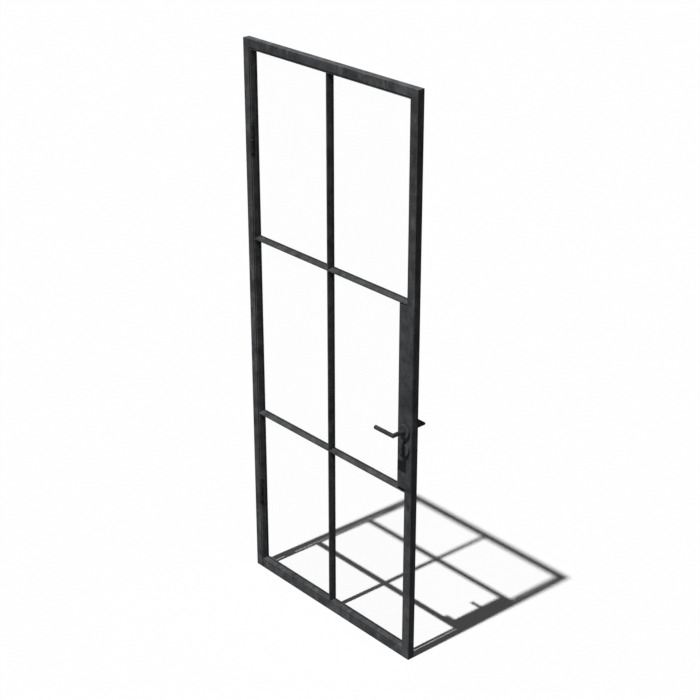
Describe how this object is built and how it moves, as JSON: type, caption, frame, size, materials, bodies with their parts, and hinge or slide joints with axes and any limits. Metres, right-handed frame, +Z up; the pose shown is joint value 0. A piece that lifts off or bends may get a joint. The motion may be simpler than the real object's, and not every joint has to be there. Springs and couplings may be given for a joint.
{
  "type": "steel door",
  "caption": "Glazed steel door leaf of slim tee and angle bars in a steel tube frame, with barrel hinges, lever handles and a keyed lock.",
  "frame": {"origin": "middle of the sill's underside, half way through the frame's depth", "axes": "+Z up, +X towards the lock side as seen from the hinge side's face, +Y away from the side the door opens to"},
  "size_m": [0.904, 0.1588, 2.2],
  "materials": {
    "painted_steel": "fine matt dark grey coating",
    "lever_set_black": "satin black coating",
    "bare_steel": "zinc plated steel",
    "clear_glass": "clear polished",
    "glazing_tape": "matt black foam tape"
  },
  "bodies": {
    "frame": {"frame_head": "painted_steel", "frame_jamb_hinge": "painted_steel", "frame_jamb_lock": "painted_steel", "frame_sill": "painted_steel", "hinge_lower_jamb_barrel": "painted_steel", "hinge_lower_pin": "bare_steel", "hinge_lower_washer": "bare_steel", "hinge_upper_jamb_barrel": "painted_steel", "hinge_upper_pin": "bare_steel", "hinge_upper_washer": "bare_steel", "strike_plate": "bare_steel", "strike_screws": "bare_steel"},
    "leaf": {"cylinder_body": "lever_set_black", "escutcheon_back": "lever_set_black", "escutcheon_front": "lever_set_black", "glazing_beads_bottom_left": "painted_steel", "glazing_beads_bottom_right": "painted_steel", "glazing_beads_middle_left": "painted_steel", "glazing_beads_middle_right": "painted_steel", "glazing_beads_top_left": "painted_steel", "glazing_beads_top_right": "painted_steel", "glazing_tape_bottom_left": "glazing_tape", "glazing_tape_bottom_right": "glazing_tape", "glazing_tape_middle_left": "glazing_tape", "glazing_tape_middle_right": "glazing_tape", "glazing_tape_top_left": "glazing_tape", "glazing_tape_top_right": "glazing_tape", "hinge_lower_leaf_barrel": "painted_steel", "hinge_upper_leaf_barrel": "painted_steel", "leaf_rail_bottom": "painted_steel", "leaf_rail_top": "painted_steel", "leaf_stile_hinge": "painted_steel", "leaf_stile_lock_lower": "painted_steel", "leaf_stile_lock_upper": "painted_steel", "lock_case": "bare_steel", "lock_cover_back": "painted_steel", "lock_cover_front": "painted_steel", "lock_forend": "bare_steel", "lock_housing": "painted_steel", "lock_housing_angle": "painted_steel", "mullion": "painted_steel", "pane_bottom_left": "clear_glass", "pane_bottom_right": "clear_glass", "pane_middle_left": "clear_glass", "pane_middle_right": "clear_glass", "pane_top_left": "clear_glass", "pane_top_right": "clear_glass", "rose_back": "lever_set_black", "rose_front": "lever_set_black", "transom_lower_left": "painted_steel", "transom_lower_right": "painted_steel", "transom_upper_left": "painted_steel", "transom_upper_right": "painted_steel"},
    "lever_set": {"lever_front": "lever_set_black", "lever_back": "lever_set_black", "spindle": "bare_steel", "lock_follower": "bare_steel"},
    "latch": {"latch_bolt": "bare_steel"},
    "dead_bolt_body": {"dead_bolt": "bare_steel"},
    "plug": {"cylinder_plug": "lever_set_black"}
  },
  "joints": [
    {"name": "leaf_swing", "type": "hinge", "parent": "frame", "child": "leaf", "pos_m": [-0.419, -0.011, 1.1], "axis": [0, 0, -1], "range_deg": [0, 100]},
    {"name": "lever_turn", "type": "hinge", "parent": "leaf", "child": "lever_set", "pos_m": [0.416, 0, 0.958], "axis": [0, -1, 0], "range_deg": [0, 35], "stiffness_Nm_per_rad": 1, "springref_deg": -28.65},
    {"name": "latch_slide", "type": "slide", "parent": "leaf", "child": "latch", "axis": [-1, 0, 0], "range_m": [0, 0.0101]},
    {"name": "key_turn", "type": "hinge", "parent": "leaf", "child": "plug", "pos_m": [0.416, 0, 0.886], "axis": [0, -1, 0], "range_deg": [0, 360]},
    {"name": "dead_bolt_slide", "type": "slide", "parent": "leaf", "child": "dead_bolt_body", "axis": [1, 0, 0], "range_m": [0, 0.012]}
  ],
  "couplings": [
    {"joint": "latch_slide", "follows": "lever_turn", "m_per_rad": 0.01637},
    {"joint": "key_turn", "follows": "dead_bolt_slide", "rad_per_m": 523.5}
  ]
}
